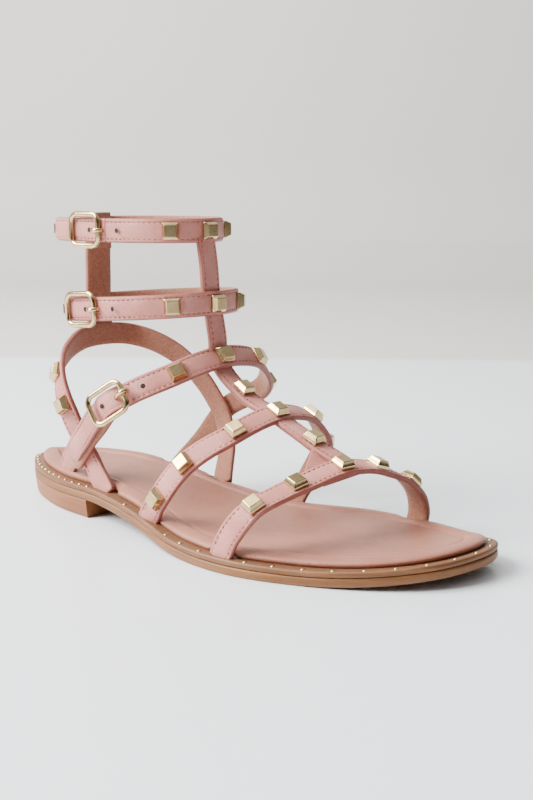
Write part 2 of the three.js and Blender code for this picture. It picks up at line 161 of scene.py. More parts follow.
def half_width(x, side):
    angle = station_angle(np.clip(np.asarray(x, float) / LENGTH, 0, 1))
    return (lateral_half if side == "lateral" else medial_half)(angle) * BALL_WIDTH


def outline(inset=0.0, count=180, last_x=None):
    """The sole's outline as points in the plane, moved inwards; with last_x it ends there, square across."""
    last = math.pi if last_x is None else float(station_angle(last_x / LENGTH))
    angle = np.linspace(0, last, count + 1)
    x = LENGTH * (1 - np.cos(angle)) / 2
    lateral = np.stack([x, -lateral_half(angle) * BALL_WIDTH], 1)
    medial = np.stack([x, medial_half(angle) * BALL_WIDTH], 1)[::-1]
    loop = np.concatenate([lateral, medial[1:-1] if last_x is None else medial[:-1]])
    along = np.roll(loop, -1, 0) - np.roll(loop, 1, 0)
    along /= np.linalg.norm(along, axis=1, keepdims=True)
    moved = loop + np.stack([-along[:, 1], along[:, 0]], 1) * inset
    if last_x is not None:
        for i in (count, count + 1):
            moved[i] = [loop[i, 0], loop[i, 1] - math.copysign(inset, loop[i, 1])]
    return moved


# Where the tables' frame lies in the row frame
outsole_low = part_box("outsole")[0]
shift = np.array([outsole_low[0] / MM, outsole_low[1] / MM - outline()[:, 1].min(), 0.0])


# Straps: rows are (along, side, up, lean) on the last, or (along, "lateral" or "medial", inboard, lean) for
# a foot. Side is a share of half the ball width; up is one of the instep's height, and past 1 of the ankle's.
TOE_STRAP = [
    (0.672, "lateral", 0, 0),
    (0.69, -0.985, 0.19, 5),
    (0.722, -0.9, 0.345, 10),
    (0.744, -0.45, 0.437, 14),
    (0.766, 0.02, 0.497, 17),
    (0.777, 0.48, 0.44, 17),
    (0.788, 0.84, 0.315, 12),
    (0.79, 0.97, 0.18, 5),
    (0.788, "medial", -0.8, 0),
]
MID_STRAP = [
    (0.469, "lateral", 0, 10),
    (0.503, -0.84, 0.255, 15),
    (0.549, -0.715, 0.485, 20),
    (0.596, -0.38, 0.645, 23),
    (0.613, 0.09, 0.723, 25),
    (0.608, 0.58, 0.66, 24),
    (0.595, 0.87, 0.46, 20),
    (0.575, 0.79, 0.26, 10),
    (0.56, "medial", 0, 5),
]
INSTEP_STRAP = [
    (0.165, "lateral", 6.5, 40),
    (0.281, -0.67, 0.49, 45),
    (0.365, -0.72, 0.74, 50),
    (0.449, -0.33, 0.92, 52),
    (0.478, 0.13, 1.0, 52),
    (0.468, 0.66, 0.945, 52),
    (0.425, 1.02, 0.742, 50),
    (0.336, 0.957, 0.56, 45),
    (0.31, 0.8, 0.37, 42),
    (0.292, "medial", 1, 40),
]
INSTEP_TAIL = [
    (0.376, -0.69, 0.765, 50),
    (0.334, -0.66, 0.63, 48),
    (0.286, -0.615, 0.49, 46),
    (0.237, -0.565, 0.31, 44),
]
HEEL_SLING = [
    (0.335, "lateral", 0, -10),
    (0.26, -0.575, 0.42, -30),
    (0.224, -0.645, 0.685, -50),
    (0.188, -0.55, 0.845, -65),
    (0.165, -0.35, 0.975, -78),
    (0.15, -0.08, 1.045, -88),
    (0.148, 0.28, 1.06, -90),
    (0.158, 0.58, 1.035, -80),
    (0.208, 0.76, 0.965, -65),
    (0.262, 0.87, 0.84, -50),
    (0.331, 0.945, 0.565, -35),
    (0.37, 0.83, 0.385, -25),
    (0.418, "medial", 0, -10),
]
INSTEP_TIE = [
    (0.768, 0.12, 0.48, 0),
    (0.73, 0.125, 0.535, 0),
    (0.69, 0.115, 0.588, 0),
    (0.613, 0.1, 0.707, 0),
    (0.532, 0.13, 0.81, 0),
    (0.475, 0.13, 0.975, 0),
    (0.47, 0.13, 1.16, 0),
    (0.46, 0.12, 1.395, 0),
    (0.448, 0.14, 1.66, 0),
    (0.434, 0.16, 1.97, 0),
]
# Gusset where the instep tie is sewn under the toe strap: along, then side and up of its two edges
GUSSET = [
    (0.7, (0.03, 0.573), (0.21, 0.571)),
    (0.731, (-0.306, 0.462), (0.265, 0.52)),
    (0.768, (-0.31, 0.437), (0.28, 0.45)),
]
BACK_TIE = [
    (0.148, 0.18, 1.0, 0),
    (0.145, 0.185, 1.3, 0),
    (0.146, 0.185, 1.65, 0),
    (0.146, 0.185, 1.97, 0),
]
BACK_SLEEVE = [
    (0.1495, 0.185, 1.74, 0),
    (0.1495, 0.185, 2.02, 0),
]
# Ankle straps: back, front, lateral, medial, height at the back and at the front, free end from and to
ANKLE_STRAPS = {
    "lower": (0.142, 0.469, -0.57, 0.85, 1.3, 1.395, 0.31, 0.222),
    "upper": (0.149, 0.441, -0.39, 0.73, 1.905, 1.91, 0.3, 0.16),
}


def height_of(up):
    return up * INSTEP_HEIGHT if up < 1 else INSTEP_HEIGHT + (up - 1) * (ANKLE_HEIGHT - INSTEP_HEIGHT)


# How far a strap's foot goes down into the deck, in millimetres
FOOT_DEPTH = 1.5


def strap_point(row):
    """The place of a table's row, on the last or at the welt's inner edge."""
    along, side, up, _ = row
    x = along * LENGTH
    if isinstance(side, str):
        edge = float(half_width(x, side)) - WELT_WIDTH + CLEARANCE + STRAP_THICKNESS / 2 - up
        return np.array([x, -edge if side == "lateral" else edge, float(deck_height(x)) - FOOT_DEPTH])
    return np.array([x, side * BALL_WIDTH / 2, height_of(up)])


class Route:
    """A curve down the middle of a strap, with the slope of the last under it."""

    def __init__(self, rows, closed=False, across=None, inward=0.0):
        self.points = [strap_point(row) for row in rows]
        self.leans = [row[3] for row in rows]
        self.closed = closed
        self.across = across
        self.inward = inward
        at = np.linspace(0, 1, 801)
        steps = np.linalg.norm(np.diff([self.point(t) for t in at], axis=0), axis=1)
        self.arc_t = at
        self.arc = np.concatenate([[0], np.cumsum(steps)])
        self.length = float(self.arc[-1])

    def point(self, t):
        points = self.points
        count = len(points)
        place = (count if self.closed else count - 1) * t
        i = int(math.floor(place))
        weight = place - i
        if self.closed:
            i %= count
        elif i >= count - 1:
            i = count - 2
            weight = 1.0
        p1 = points[i]
        p2 = points[(i + 1) % count]
        p0 = points[(i - 1) % count] if self.closed or i > 0 else 2 * points[0] - points[1]
        p3 = points[(i + 2) % count] if self.closed or i + 2 < count else 2 * points[-1] - points[-2]
        d0, d1, d2 = (np.linalg.norm(b - a) ** 0.5 for a, b in ((p0, p1), (p1, p2), (p2, p3)))
        t1 = ((p1 - p0) / d0 - (p2 - p0) / (d0 + d1) + (p2 - p1) / d1) * d1
        t2 = ((p2 - p1) / d1 - (p3 - p1) / (d1 + d2) + (p3 - p2) / d2) * d1
        c2 = -3 * p1 + 3 * p2 - 2 * t1 - t2
        c3 = 2 * p1 - 2 * p2 + t1 + t2
        return p1 + t1 * weight + c2 * weight**2 + c3 * weight**3

    def frame(self, t):
        """Middle, tangent, outward and widthwise directions at a share of the route."""
        if self.closed:
            before, after = self.point((t - 1e-4) % 1), self.point((t + 1e-4) % 1)
        else:
            before, after = self.point(max(t - 1e-4, 0)), self.point(min(t + 1e-4, 1))
        tangent = (after - before) / np.linalg.norm(after - before)
        if self.across is None:
            leans = self.leans
            spans = len(leans) if self.closed else len(leans) - 1
            row = min(int(math.floor(t * spans)), spans - 1)
            share = t * spans - row
            share = share * share * (3 - 2 * share)
            lean = math.radians(leans[row] + (leans[(row + 1) % len(leans)] - leans[row]) * share)
            slope = np.array([math.cos(lean), 0, -math.sin(lean)])
        else:
            slope = self.across
        out = np.cross(slope, tangent)
        out /= np.linalg.norm(out)
        wide = np.cross(tangent, out)
        return self.point(t) - out * self.inward, tangent, out, wide

    def at_length(self, length):
        return float(np.interp(length, self.arc, self.arc_t))

    def length_at(self, t):
        return float(np.interp(t, self.arc_t, self.arc))


RING_ROWS = 16


def ankle_rows(back, front, lateral, medial, up_back, up_front, *_):
    """Rows of a closed ankle strap, round an ellipse."""
    rows = []
    for i in range(RING_ROWS):
        turn = 2 * math.pi * i / RING_ROWS
        forward = (1 + math.cos(turn)) / 2
        side = (lateral + medial) / 2 - (medial - lateral) / 2 * math.sin(turn)
        rows.append((back + (front - back) * forward, side, up_back + (up_front - up_back) * forward, -90))
    return rows


def tail_rows(back, front, lateral, _medial, up_back, up_front, tail_from, tail_to):
    """Rows of an ankle strap's free end, straight back from its buckle."""
    rows = []
    for along in (tail_from, tail_to):
        up = up_back + (up_front - up_back) * (along - back) / (front - back)
        rows.append((along, lateral, up, -90))
    return rows


BACK_TURN = math.radians(11)
back_across = np.array([-math.sin(BACK_TURN), -math.cos(BACK_TURN), 0.0])
routes = {
    "toe": Route(TOE_STRAP),
    "mid": Route(MID_STRAP),
    "instep": Route(INSTEP_STRAP, inward=-LAP_SHIFT),
    "instep_tail": Route(INSTEP_TAIL, inward=TAIL_SHIFT),
    "sling": Route(HEEL_SLING, inward=STRAP_THICKNESS / 2),
    "tie": Route(INSTEP_TIE, across=np.array([0.0, 1.0, 0.0])),
    "back": Route(BACK_TIE, across=back_across),
    "sleeve": Route(BACK_SLEEVE, across=back_across),
}
for ring, sizes in ANKLE_STRAPS.items():
    routes[ring] = Route(ankle_rows(*sizes), closed=True)
    routes[f"{ring}_tail"] = Route(tail_rows(*sizes))


# Materials
def srgb(red, green, blue):
    """A colour given as the eye sees it, from 0 to 255, as the linear values that Blender takes."""
    shares = [value / 255 for value in (red, green, blue)]
    return tuple(s / 12.92 if s <= 0.04045 else ((s + 0.055) / 1.055) ** 2.4 for s in shares) + (1.0,)


class Material:
    """A node material with a principled shader, built up by small steps."""

    def __init__(self, name, roughness=0.5, metallic=0.0):
        self.material = bpy.data.materials.new(name)
        self.material.use_nodes = True
        self.nodes = self.material.node_tree.nodes
        self.links = self.material.node_tree.links
        self.shader = self.nodes["Principled BSDF"]
        self.shader.inputs["Roughness"].default_value = roughness
        self.shader.inputs["Metallic"].default_value = metallic
        self.place = self.nodes.new("ShaderNodeTexCoord").outputs["Object"]
        self.bump = None

    def noise(self, scale, detail=3.0, stretch=None):
        node = self.nodes.new("ShaderNodeTexNoise")
        node.inputs["Scale"].default_value = scale
        node.inputs["Detail"].default_value = detail
        self.links.new(self.stretched(stretch), node.inputs["Vector"])
        return node.outputs["Fac"]

    def cells(self, scale):
        node = self.nodes.new("ShaderNodeTexVoronoi")
        node.feature = "DISTANCE_TO_EDGE"
        node.inputs["Scale"].default_value = scale
        self.links.new(self.place, node.inputs["Vector"])
        return node.outputs["Distance"]

    def stretched(self, stretch):
        if stretch is None:
            return self.place
        node = self.nodes.new("ShaderNodeMapping")
        node.inputs["Scale"].default_value = stretch
        self.links.new(self.place, node.inputs["Vector"])
        return node.outputs["Vector"]

    def attribute(self, name):
        node = self.nodes.new("ShaderNodeAttribute")
        node.attribute_name = name
        return node.outputs["Fac"]

    def ramp(self, value, stops):
        """A value spread between two stops, each a position and a level."""
        node = self.nodes.new("ShaderNodeValToRGB")
        for element, (position, level) in zip(node.color_ramp.elements, stops):
            element.position = position
            element.color = (level, level, level, 1)
        self.links.new(value, node.inputs["Fac"])
        return node.outputs["Color"]

    def mix(self, share, first, second):
        node = self.nodes.new("ShaderNodeMix")
        node.data_type = "RGBA"
        for socket, value in ((node.inputs[0], share), (node.inputs[6], first), (node.inputs[7], second)):
            if isinstance(value, tuple):
                socket.default_value = value
            else:
                self.links.new(value, socket)
        return node.outputs[2]

    def colour(self, value):
        self.links.new(value, self.shader.inputs["Base Color"])

    def rough(self, value, low, high):
        node = self.nodes.new("ShaderNodeMapRange")
        node.inputs["To Min"].default_value = low
        node.inputs["To Max"].default_value = high
        self.links.new(value, node.inputs["Value"])
        self.links.new(node.outputs["Result"], self.shader.inputs["Roughness"])

    def relief(self, height, depth):
        """Bump of a height from 0 to 1 that stands for a depth in metres, on top of any bump before it."""
        node = self.nodes.new("ShaderNodeBump")
        node.inputs["Distance"].default_value = depth
        node.inputs["Strength"].default_value = 1.0
        self.links.new(height, node.inputs["Height"])
        if self.bump is not None:
            self.links.new(self.bump, node.inputs["Normal"])
        self.bump = node.outputs["Normal"]
        self.links.new(self.bump, self.shader.inputs["Normal"])


# Depths of leather's grain and of its creases, in metres
GRAIN = 0.00008
CREASE = 0.00035


def leather(name, base, dark, roughness=(0.4, 0.55), edge_shade=None):
    """Smooth leather, mottled and porous; given a shade colour it is darkened towards its edges with painted
    shade, and is creased.
    """
    made = Material(name)
    mottle = made.noise(55, 4)
    tone = made.mix(made.ramp(mottle, [(0.35, 0.0), (0.7, 1.0)]), dark, base)
    pores = made.cells(1300)
    tone = made.mix(made.ramp(pores, [(0.0, 0.35), (0.25, 0.0)]), tone, dark)
    # Painted shade: the shade colour darkens the face towards each strap's edge, following the rim share of
    # each point
    if edge_shade is not None:
        tone = made.mix(made.ramp(made.attribute("rim"), [(0.0, 0.0), (1.0, 0.8)]), tone, edge_shade)
    made.colour(tone)
    made.rough(made.noise(300, 3), *roughness)
    made.relief(made.ramp(pores, [(0.0, 0.0), (0.3, 1.0)]), GRAIN)
    made.relief(made.noise(420, 4), GRAIN * 1.6)
    if edge_shade is not None:
        made.relief(made.noise(130, 5), CREASE)
    made.shader.inputs["Sheen Weight"].default_value = 0.08
    made.shader.inputs["Sheen Roughness"].default_value = 0.4
    return made.material


def edge_paint(name, base, dark, roughness=0.5):
    """Painted edge or waxed thread, and the punched holes' dark painted shade: even, with a fine mottling."""
    made = Material(name, roughness=roughness)
    made.colour(made.mix(made.noise(500, 3), dark, base))
    made.relief(made.noise(900, 2), 0.00008)
    return made.material


def stacked(name, base, dark, lines):
    """Sole leather seen at its edge: fine layers along the side, with a waxed surface."""
    made = Material(name, roughness=0.5)
    layers = made.noise(lines, 5, stretch=(0.06, 0.06, 1.0))
    fibres = made.noise(700, 4, stretch=(0.5, 0.5, 1))
    tone = made.mix(made.ramp(layers, [(0.38, 0.0), (0.62, 1.0)]), dark, base)
    tone = made.mix(made.ramp(fibres, [(0.42, 0.35), (0.6, 0.0)]), tone, dark)
    made.colour(tone)
    made.rough(fibres, 0.42, 0.62)
    made.relief(layers, 0.00012)
    made.relief(fibres, 0.00006)
    return made.material


def metal(name, base, dark):
    """Polished plating, a little cloudy."""
    made = Material(name, metallic=1.0)
    cloud = made.noise(260, 4)
    made.colour(made.mix(made.ramp(cloud, [(0.35, 0.0), (0.7, 1.0)]), dark, base))
    made.rough(made.noise(900, 3), 0.1, 0.24)
    made.relief(made.noise(1500, 2), 0.000006)
    return made.material


def suede(name, base, dark):
    """Matt lining with a nap."""
    made = Material(name, roughness=0.85)
    nap = made.noise(900, 5)
    made.colour(made.mix(made.ramp(nap, [(0.3, 0.0), (0.7, 1.0)]), dark, base))
    made.relief(nap, 0.00018)
    made.relief(made.noise(120, 3), 0.0002)
    made.shader.inputs["Sheen Weight"].default_value = 0.25
    made.shader.inputs["Sheen Roughness"].default_value = 0.5
    return made.material


# The pink leather's third colour is painted shade along the straps' edges
PINK = leather("pink_leather", srgb(209, 142, 131), srgb(180, 109, 97), edge_shade=srgb(174, 102, 89))
INSOLE_PINK = leather("insole_leather", srgb(170, 110, 90), srgb(154, 96, 75), roughness=(0.32, 0.48))
EDGE = edge_paint("strap_edge", srgb(160, 92, 78), srgb(128, 66, 54))
LINING = suede("strap_lining", srgb(164, 110, 86), srgb(138, 85, 63))
THREAD = edge_paint("thread", srgb(156, 94, 80), srgb(128, 70, 58))
WELT = edge_paint("welt_top", srgb(126, 84, 54), srgb(86, 54, 33))
MIDSOLE = stacked("midsole_edge", srgb(132, 84, 41), srgb(104, 63, 28), 700)
OUTSOLE = stacked("outsole_edge", srgb(134, 86, 41), srgb(109, 66, 29), 500)
HEEL = stacked("heel_stack", srgb(141, 85, 36), srgb(119, 67, 25), 330)
GOLD = metal("pale_gold", srgb(212, 186, 138), srgb(190, 162, 114))
# Painted shade: the punched holes are near-black domes on the strap's face, not cut through
HOLE_SHADE = edge_paint("hole_painted_shade", srgb(44, 22, 18), srgb(30, 14, 12), roughness=0.9)


# Meshes
def to_row(points):
    """Table millimetres to row metres."""
    return (np.asarray(points, float) + shift) * MM


def new_piece(name, points, faces, materials, slots, replaces, rim=None):
    """A smooth piece that rides the shoe; slots are its faces' materials, rim a share for each point."""
    mesh = bpy.data.meshes.new(name)
    mesh.from_pydata(to_row(points).tolist(), [], faces)
    for material in materials:
        mesh.materials.append(material)
    if slots is not None:
        mesh.polygons.foreach_set("material_index", slots)
    mesh.polygons.foreach_set("use_smooth", [True] * len(mesh.polygons))
    if rim is not None:
        mesh.attributes.new("rim", "FLOAT", "POINT").data.foreach_set("value", rim)
    mesh.update()
    mesh.validate()
    piece = bpy.data.objects.new(name, mesh)
    bpy.context.scene.collection.objects.link(piece)
    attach(piece, "root")
    if replaces:
        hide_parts(*replaces)
    return piece


def grid_faces(rows, count, around=True, closed=False):
    """Quads between rows of points; around joins the ends of each row, closed the last row to the first."""
    faces = []
    for k in range(rows if closed else rows - 1):
        here = k * count
        then = ((k + 1) % rows) * count
        for i in range(count if around else count - 1):
            j = (i + 1) % count
            faces.append((here + i, here + j, then + j, then + i))
    return faces


def end_caps(rows, count):
    """The faces that close the first and the last row."""
    return [tuple(range(count))[::-1], tuple((rows - 1) * count + i for i in range(count))]


# Across a strap's face: distance from its edge and depth below the face in mm, and material number
RIM_REACH = 1.8
OUTER_FACE = [
    (0.0, 0.95, 1),
    (0.12, 0.5, 1),
    (0.4, 0.16, 0),
    (0.8, 0.0, 0),
    (1.2, -0.02, 0),
    (1.6, 0.16, 0),
    (2.0, 0.0, 0),
    (2.7, -0.1, 0),
    (3.8, -0.18, 0),
]


def strap_section(half, thickness):
    """Points (width, depth, slot, rim) round a strap; slot is 0 for the face, 1 the edge and 2 the lining."""
    top = thickness / 2
    face = []
    for inset, below, kind in OUTER_FACE:
        face.append((-half + inset, top - below, kind, max(0.0, 1 - inset / RIM_REACH)))
    middle = [(0.0, top + 0.2, 0, 0.0)]
    other = [(-w, d, kind, rim) for w, d, kind, rim in face[::-1]]
    lining = [
        (half - 0.1, -top + 0.5, 1, 0.0),
        (half - 0.45, -top + 0.05, 2, 0.0),
        (half * 0.5, -top, 2, 0.0),
        (0.0, -top, 2, 0.0),
        (-half * 0.5, -top, 2, 0.0),
        (-half + 0.45, -top + 0.05, 2, 0.0),
        (-half + 0.1, -top + 0.5, 1, 0.0),
    ]
    return face + middle + other + lining


STRAP_STEP = 1.3


def strap(
    name, route, start=0, end=1, width=STRAP_WIDTH, thickness=STRAP_THICKNESS, sink=0.0, folds=(), tips=()
):
    """A strap on a route; folds are (place, depth, reach) troughs, tips its rounded ends' lengths in mm."""
    first = route.length_at(start)
    total = route.length_at(end) - first
    rows = max(int(total / STRAP_STEP), 3)
    closed = route.closed and end - start == 1
    stations = rows if closed else rows + 1
    points = []
    rims = []
    for i in range(stations):
        length = first + total * i / rows
        t = route.at_length(length)
        middle, _, out, wide = route.frame(t)
        dip = sink
        for place, depth, reach in folds:
            dip += depth * math.exp(-(((length - first) / total - place) * total / reach) ** 2)
        half = width / 2
        for from_end, tip in zip((length - first, first + total - length), tips):
            if from_end < tip:
                half *= math.sqrt(max(1 - (1 - from_end / tip) ** 2, 0.0)) * 0.75 + 0.25
        wave = 0.12 * math.sin(length / 7.3 + len(name)) + 0.08 * math.sin(length / 3.1 + 2.0 * len(name))
        for w, d, _, rim in strap_section(half, thickness):
            points.append(middle + wide * (w + 0.1 * wave) + out * (d - dip + wave))
            rims.append(rim)
    round_kinds = [kind for _, _, kind, _ in strap_section(width / 2, thickness)]
    count = len(round_kinds)
    faces = grid_faces(stations, count, closed=closed)
    kinds = [max(round_kinds[i], round_kinds[(i + 1) % count]) for i in range(count)]
    slots = kinds * (len(faces) // count)
    if not closed:
        faces += end_caps(stations, count)
        slots += [1, 1]
    new_piece(name, points, faces, [PINK, EDGE, LINING], slots, ["upper"], rim=rims)


GUSSET_STEPS = 6


def gusset():
    """The wings of the instep tie under the toe strap, as a soft plate with rounded edges."""
    rows = []
    for k in range(2 * GUSSET_STEPS + 1):
        place = k / GUSSET_STEPS
        i = min(int(place), 1)
        share = place - i
        ends = []
        for edge in (1, 2):
            first, second = GUSSET[i], GUSSET[i + 1]
            along = first[0] + (second[0] - first[0]) * share
            side, up = np.array(first[edge]) + (np.array(second[edge]) - np.array(first[edge])) * share
            ends.append(strap_point((along, side, up, 0)))
        rows.append(ends)
    points = []
    deep = GUSSET_THICKNESS / 2
    section = [(0.0, -0.4), (0.0, 0.2), (0.03, 0.75), (0.08, 0.95)]
    section += [(0.5, 1.0), (0.92, 0.95), (0.97, 0.75), (1.0, 0.2), (1.0, -0.4), (0.9, -1.0), (0.1, -1.0)]
    kinds = [1, 1, 0, 0, 0, 0, 1, 1, 1, 2, 1]
    for left, right in rows:
        for share, up in section:
            points.append(right + (left - right) * share + np.array([0.0, 0.0, up * deep]))
    faces = grid_faces(len(rows), len(section))
    slots = kinds * (len(rows) - 1)
    faces += end_caps(len(rows), len(section))
    new_piece("gusset", points, faces, [PINK, EDGE, LINING], slots + [1, 1], ["upper"])


gusset()

# Straps: name, route and options of strap()
STRAPS = [
    ("toe", "toe", {"folds": [(0.06, 0.5, 3.0), (0.93, 0.4, 3.0)]}),
    ("mid", "mid", {"folds": [(0.05, 0.5, 3.0), (0.95, 0.4, 3.0)]}),
    ("instep", "instep", {"start": 0.196, "folds": [(0.0, 1.6, 3.0), (0.042, -1.5, 6.5), (0.09, 0.6, 3.0)]}),
    ("instep_foot", "instep", {"end": 0.203, "folds": [(0.15, 0.3, 4.0), (1.0, 0.9, 2.5)]}),
    ("instep_tail", "instep_tail", {"tips": (0, 4)}),
    ("sling", "sling", {"folds": [(0.08, 0.4, 4.0), (0.5, 0.3, 6.0)]}),
    ("tie", "tie", {"sink": 0.2}),
    ("back", "back", {"width": BACK_WIDTH}),
    ("sleeve", "sleeve", {"width": SLEEVE_WIDTH, "thickness": SLEEVE_THICKNESS}),
    ("lower", "lower", {"folds": [(0.5, 0.3, 6.0)]}),
    ("upper", "upper", {"folds": [(0.55, 0.3, 6.0)]}),
    ("lower_tail", "lower_tail", {"tips": (0, 5)}),
    ("upper_tail", "upper_tail", {"tips": (0, 2)}),
]
for name, route_name, options in STRAPS:
    strap(f"strap_{name}", routes[route_name], **options)


# Sole and insole
SPINE_LOW = 20.0
SPINE_HIGH = LENGTH - 28.0


def toward_spine(loop, share):
    """Points of a loop moved a share of the way to the sole's middle line."""
    x = np.clip(loop[:, 0], SPINE_LOW, SPINE_HIGH)
    y = (half_width(x, "medial") - half_width(x, "lateral")) / 2
    return loop + (np.stack([x, y], 1) - loop) * share


def sole_body(name, levels, materials, replaces, count=180, shape=None):
    """A body from loops listed from the middle of its underside round to the middle of its top.

    Each level is (inset, share of the way to the middle line, height as a function of x and y, slot). A shape
    moves a level's loop in the plane.
    """
    points = []
    slots = []
    for inset, share, height, kind in levels:
        loop = toward_spine(outline(inset, count), share)
        if shape is not None:
            loop = shape(loop, share, inset)
        points.append(np.column_stack([loop, height(loop[:, 0], loop[:, 1])]))
        slots.append(kind)
    size = len(points[0])
    faces = grid_faces(len(levels), size)
    face_slots = [kind for kind in slots[1:] for _ in range(size)]
    piece = new_piece(name, np.concatenate(points), faces, materials, face_slots, replaces)
    edit = bmesh.new()
    edit.from_mesh(piece.data)
    bmesh.ops.remove_doubles(edit, verts=edit.verts, dist=1e-6)
    edit.to_mesh(piece.data)
    edit.free()
    return piece


def outsole_levels():
    def raised(up):
        return lambda x, y: deck_height(x) - FOREFOOT_HEIGHT + up

    top = OUTSOLE_THICKNESS
    return [
        (1.0, 1.0, raised(0.0), 1),
        (1.0, 0.5, raised(0.0), 1),
        (1.0, 0.05, raised(0.0), 1),
        (0.9, 0.0, raised(0.0), 1),
        (0.35, 0.0, raised(0.2), 0),
        (0.05, 0.0, raised(0.7), 0),
        (0.0, 0.0, raised(1.3), 0),
        (0.05, 0.0, raised(top - 0.9), 0),
        (0.2, 0.0, raised(top - 0.35), 0),
        (0.6, 0.0, raised(top), 0),
        (1.0, 0.3, raised(top), 0),
        (1.0, 1.0, raised(top), 0),
    ]


def midsole_levels():
    def raised(up):
        return lambda x, y: deck_height(x) + up

    low = -MIDSOLE_THICKNESS - CLEARANCE * 0.9
    return [
        (1.0, 1.0, raised(low), 0),
        (1.0, 0.2, raised(low), 0),
        (0.9, 0.0, raised(low), 0),
        (0.5, 0.0, raised(low + 0.15), 0),
        (0.15, 0.0, raised(low + 0.5), 0),
        (0.05, 0.0, raised(low + 1.1), 0),
        (0.1, 0.0, raised(-0.6), 0),
        (0.35, 0.0, raised(-0.2), 0),
        (0.8, 0.0, raised(0.0), 1),
        (1.6, 0.0, raised(0.02), 1),
        (WELT_WIDTH + 1.5, 0.0, raised(0.0), 1),
        (WELT_WIDTH + 1.5, 1.0, raised(0.0), 1),
    ]


sole_body("sole_outer", outsole_levels(), [OUTSOLE, WELT], ["outsole"])
sole_body("sole_middle", midsole_levels(), [MIDSOLE, WELT], ["midsole"])


def heel_block():
    """The heel under the outsole's back, a little smaller at the floor."""
    count = 90
    top = SEAT_HEIGHT - FOREFOOT_HEIGHT - CLEARANCE * 0.1
    rows = [
        (HEEL_TAPER + 0.7, 0.0),
        (HEEL_TAPER + 0.2, 0.2),
        (HEEL_TAPER, 0.7),
        (HEEL_TAPER * 0.5, top * 0.5),
        (0.15, top - 0.3),
        (0.4, top),
    ]
    loops = [outline(inset, count, HEEL_LENGTH) for inset, _ in rows]
    size = len(loops[0])
    points = np.concatenate([np.column_stack([loop, np.full(size, z)]) for loop, (_, z) in zip(loops, rows)])
    faces = grid_faces(len(rows), size)
    faces += end_caps(len(rows), size)
    piece = new_piece("heel_block", points, faces, [HEEL], None, ["heel"])
    piece.data.set_sharp_from_angle(angle=math.radians(35))


heel_block()

# Places where straps go down beside or into the insole
feet = []
for key, ends in (("toe", (0.0, 1.0)), ("mid", (0.0, 1.0)), ("instep", (1.0,)), ("sling", (0.0, 1.0))):
    for t in ends:
        middle = routes[key].frame(t)[0]
        feet.append((middle[0], middle[1]))


def insole_height(x):
    """Height of the pad's top, before its middle and the straps press it in."""
    rim = RIM_HEIGHT_TOE + (RIM_HEIGHT_HEEL - RIM_HEIGHT_TOE) * np.maximum(seat_share(x / LENGTH), 0)
    return deck_height(x) + CLEARANCE + rim


# The hollow that a strap's foot presses into the pad: depth, and reach along and across the sole, in mm
PRESS_DEPTH = 0.7
PRESS_ALONG = 9.0
PRESS_ACROSS = 6.0


def pressed(x, y, height):
    for foot_x, foot_y in feet:
        near = np.exp(-(((x - foot_x) / PRESS_ALONG) ** 2) - ((y - foot_y) / PRESS_ACROSS) ** 2)
        height = height - PRESS_DEPTH * near
    return height


# How far in from the pad's edge its middle starts, how far that lies below the rim, and how much it sags
PAD_MIDDLE = 10.0
PAD_DROP = 0.85
PAD_SAG = 0.35
PAD_STEPS = 8


def insole_levels():
    """The pad's levels: a flat underside, a rounded rim, a groove inside it and a pressed middle."""

    def level(up, drop=0.0):
        def height(x, y):
            base = deck_height(x) + CLEARANCE
            return pressed(x, y, base + (insole_height(x) - base) * up - drop)

        return height

    def underside(x, y):
        return deck_height(x) + CLEARANCE * 0.1

    edge = WELT_WIDTH
    rows = [
        (edge + 1.2, 1.0, underside, 0),
        (edge + 1.2, 0.1, underside, 0),
        (edge + 0.7, 0.0, underside, 0),
        (edge + 0.2, 0.0, level(0.15), 0),
        (edge, 0.0, level(0.32), 0),
        (edge + 0.1, 0.0, level(0.48), 0),
        (edge + 0.5, 0.0, level(0.64), 0),
        (edge + 1.2, 0.0, level(0.78), 0),
        (edge + 2.2, 0.0, level(0.89), 0),
        (edge + 3.6, 0.0, level(0.97), 0),
        (edge + 5.2, 0.0, level(1.0), 0),
        (edge + 6.6, 0.0, level(1.0, 0.12), 0),
        (edge + 7.5, 0.0, level(1.0, 0.5), 0),
        (edge + 8.0, 0.0, level(1.0, 1.25), 0),
        (edge + 8.4, 0.0, level(1.0, 1.5), 0),
        (edge + 8.9, 0.0, level(1.0, 1.1), 0),
        (edge + PAD_MIDDLE, 0.0, level(1.0, PAD_DROP), 0),
    ]
    for k in range(1, PAD_STEPS + 1):
        drop = PAD_DROP + PAD_SAG * math.sin(math.pi / 2 * k / PAD_STEPS)
        rows.append((edge + PAD_MIDDLE, k / PAD_STEPS, level(1.0, drop), 0))
    return rows


# The notch in the pad's edge beside a strap's foot, in mm
NOTCH_DEPTH = 2.6
NOTCH_REACH = 6.3
NOTCH_SOFTNESS = 0.5
NOTCH_TO = 4.0


def notched(loop, share, inset):
    """The pad's edge gives way where a strap stands beside it."""
    if share > 0 or inset > WELT_WIDTH + NOTCH_TO:
        return loop
    middle = toward_spine(loop, 1.0)
    inward = middle - loop
    inward /= np.linalg.norm(inward, axis=1, keepdims=True)
    push = np.zeros(len(loop))
    for foot_x, foot_y in feet:
        gap = np.hypot(loop[:, 0] - foot_x, loop[:, 1] - foot_y)
        push = np.maximum(push, NOTCH_DEPTH / (1 + np.exp((gap - NOTCH_REACH) / NOTCH_SOFTNESS)))
    return loop + inward * push[:, None]


insole = sole_body(
    "insole_pad", insole_levels(), [INSOLE_PINK], ["insole"], count=260, shape=notched
)


